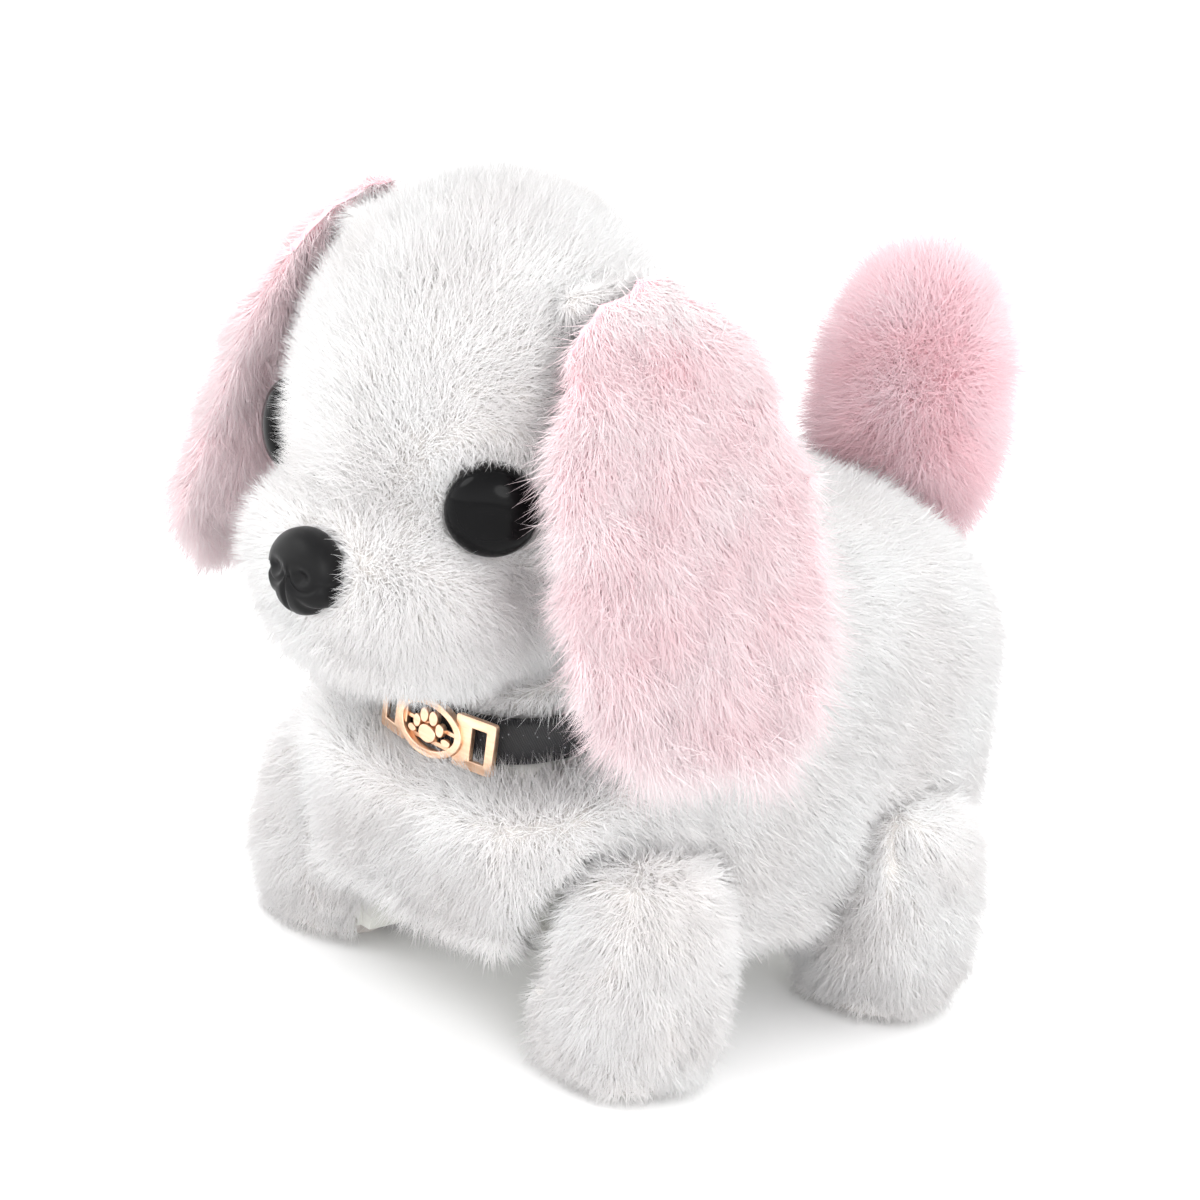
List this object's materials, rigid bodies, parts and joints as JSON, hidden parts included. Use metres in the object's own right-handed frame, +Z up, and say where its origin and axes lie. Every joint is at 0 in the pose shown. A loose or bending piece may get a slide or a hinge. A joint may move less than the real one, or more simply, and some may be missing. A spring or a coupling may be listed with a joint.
{
  "type": "interactive plush pet",
  "caption": "Battery-driven plush puppy with long floppy ears, swinging legs, nodding head and a wagging upright tail.",
  "frame": {"origin": "on the floor, under the middle of the toy", "axes": "+Z up, the puppy faces -Y, +X is its left side"},
  "size_m": [0.1318, 0.1614, 0.1455],
  "materials": {
    "white_plush": "short brushed pile",
    "pink_plush": "short brushed pile",
    "white_plastic": "matt moulded",
    "grey_plastic": "matt moulded",
    "gear_plastic": "natural nylon",
    "black_gloss_plastic": "polished",
    "black_nose_plastic": "satin",
    "black_webbing": "grained, with fine glints",
    "steel": "plated",
    "rose_gold": "bright plated",
    "cell_jacket": "printed sleeve, plain",
    "circuit_board": "solder mask",
    "sole_rubber": "matt"
  },
  "bodies": {
    "trunk": {"body_plush_cover": "white_plush", "chassis_lower": "white_plastic", "chassis_upper": "white_plastic", "left_battery": "cell_jacket", "right_battery": "cell_jacket", "battery_spring": "steel", "battery_cross_plate": "steel", "switch_body": "grey_plastic", "circuit_board": "circuit_board", "speaker": "grey_plastic", "motor": "steel", "gear_bracket": "steel", "first_gear_axle": "steel", "second_gear_axle": "steel", "third_gear_axle": "steel", "front_left_leg_screw": "steel", "front_right_leg_screw": "steel", "rear_left_leg_screw": "steel", "rear_right_leg_screw": "steel", "neck_pin": "steel", "tail_pin": "steel", "collar_strap": "black_webbing", "collar_plate": "rose_gold"},
    "battery_door": {"battery_door": "white_plastic", "battery_door_screw": "steel"},
    "switch_knob": {"switch_knob": "black_gloss_plastic"},
    "crank": {"crank_gear": "gear_plastic", "crank_shaft": "steel", "crank_disc_left": "white_plastic", "crank_disc_right": "white_plastic"},
    "third_gear": {"third_gear": "gear_plastic"},
    "second_gear": {"second_gear": "gear_plastic"},
    "first_gear": {"first_gear": "gear_plastic"},
    "motor_pinion": {"motor_pinion": "steel"},
    "left_leg_link": {"left_leg_link": "grey_plastic"},
    "right_leg_link": {"right_leg_link": "grey_plastic"},
    "head": {"head_plush_cover": "white_plush", "head_skull": "white_plastic", "left_eye": "black_gloss_plastic", "left_eye_washer": "white_plastic", "right_eye": "black_gloss_plastic", "right_eye_washer": "white_plastic", "nose": "black_nose_plastic", "nose_washer": "white_plastic"},
    "left_ear": {"left_ear": "pink_plush"},
    "right_ear": {"right_ear": "pink_plush"},
    "tail": {"tail_lever": "white_plastic", "tail_plush": "pink_plush"},
    "front_left_leg": {"front_left_leg_lever": "white_plastic", "front_left_leg_plush": "white_plush", "front_left_sole_pad": "sole_rubber"},
    "front_right_leg": {"front_right_leg_lever": "white_plastic", "front_right_leg_plush": "white_plush", "front_right_sole_pad": "sole_rubber"},
    "rear_left_leg": {"rear_left_leg_lever": "white_plastic", "rear_left_leg_plush": "white_plush", "rear_left_sole_pad": "sole_rubber"},
    "rear_right_leg": {"rear_right_leg_lever": "white_plastic", "rear_right_leg_plush": "white_plush", "rear_right_sole_pad": "sole_rubber"}
  },
  "joints": [
    {"name": "crank_spin", "type": "hinge", "parent": "trunk", "child": "crank", "pos_m": [0, -0.02802, 0.045], "axis": [1, 0, 0], "continuous": true},
    {"name": "third_gear_spin", "type": "hinge", "parent": "trunk", "child": "third_gear", "pos_m": [0, -0.0161, 0.04636], "axis": [1, 0, 0], "continuous": true},
    {"name": "second_gear_spin", "type": "hinge", "parent": "trunk", "child": "second_gear", "pos_m": [0, -0.00421, 0.048], "axis": [1, 0, 0], "continuous": true},
    {"name": "first_gear_spin", "type": "hinge", "parent": "trunk", "child": "first_gear", "pos_m": [0, 0.00554, 0.048], "axis": [1, 0, 0], "continuous": true},
    {"name": "motor_spin", "type": "hinge", "parent": "trunk", "child": "motor_pinion", "pos_m": [0, 0.01529, 0.0479], "axis": [1, 0, 0], "continuous": true},
    {"name": "front_left_leg_swing", "type": "hinge", "parent": "trunk", "child": "front_left_leg", "pos_m": [0, -0.02802, 0.03], "axis": [1, 0, 0], "range_deg": [-12, 12]},
    {"name": "front_right_leg_swing", "type": "hinge", "parent": "trunk", "child": "front_right_leg", "pos_m": [0, -0.02802, 0.03], "axis": [1, 0, 0], "range_deg": [-12, 12]},
    {"name": "rear_left_leg_swing", "type": "hinge", "parent": "trunk", "child": "rear_left_leg", "pos_m": [0, 0.03598, 0.03], "axis": [1, 0, 0], "range_deg": [-12, 12]},
    {"name": "rear_right_leg_swing", "type": "hinge", "parent": "trunk", "child": "rear_right_leg", "pos_m": [0, 0.03598, 0.03], "axis": [1, 0, 0], "range_deg": [-12, 12]},
    {"name": "left_link_turn", "type": "hinge", "parent": "front_left_leg", "child": "left_leg_link", "pos_m": [0, -0.02802, 0.037], "axis": [1, 0, 0], "range_deg": [-12, 12]},
    {"name": "right_link_turn", "type": "hinge", "parent": "front_right_leg", "child": "right_leg_link", "pos_m": [0, -0.02802, 0.037], "axis": [1, 0, 0], "range_deg": [-12, 12]},
    {"name": "head_nod", "type": "hinge", "parent": "trunk", "child": "head", "pos_m": [0, -0.03002, 0.08], "axis": [1, 0, 0], "range_deg": [-4, 8]},
    {"name": "left_ear_flap", "type": "hinge", "parent": "head", "child": "left_ear", "pos_m": [0.031, -0.04002, 0.135], "axis": [0, -1, 0], "range_deg": [0, 55]},
    {"name": "right_ear_flap", "type": "hinge", "parent": "head", "child": "right_ear", "pos_m": [-0.031, -0.04002, 0.135], "axis": [0, 1, 0], "range_deg": [0, 55]},
    {"name": "tail_wag", "type": "hinge", "parent": "trunk", "child": "tail", "pos_m": [0, 0.05598, 0.066], "axis": [0, 1, 0], "range_deg": [-18, 18]},
    {"name": "battery_door_swing", "type": "hinge", "parent": "trunk", "child": "battery_door", "pos_m": [0, -0.00242, 0.02], "axis": [-1, 0, 0], "range_deg": [0, 16]},
    {"name": "switch_slide", "type": "slide", "parent": "trunk", "child": "switch_knob", "axis": [0, 1, 0], "range_m": [0, 0.004]}
  ],
  "couplings": [
    {"joint": "first_gear_spin", "follows": "motor_spin", "ratio": -0.44444},
    {"joint": "second_gear_spin", "follows": "motor_spin", "ratio": 0.19753},
    {"joint": "third_gear_spin", "follows": "motor_spin", "ratio": -0.065844},
    {"joint": "crank_spin", "follows": "motor_spin", "ratio": 0.021948},
    {"joint": "front_right_leg_swing", "follows": "front_left_leg_swing", "ratio": -1},
    {"joint": "rear_left_leg_swing", "follows": "front_left_leg_swing", "ratio": 1},
    {"joint": "rear_right_leg_swing", "follows": "front_left_leg_swing", "ratio": -1},
    {"joint": "left_link_turn", "follows": "front_left_leg_swing", "ratio": -1},
    {"joint": "right_link_turn", "follows": "front_left_leg_swing", "ratio": 1}
  ]
}
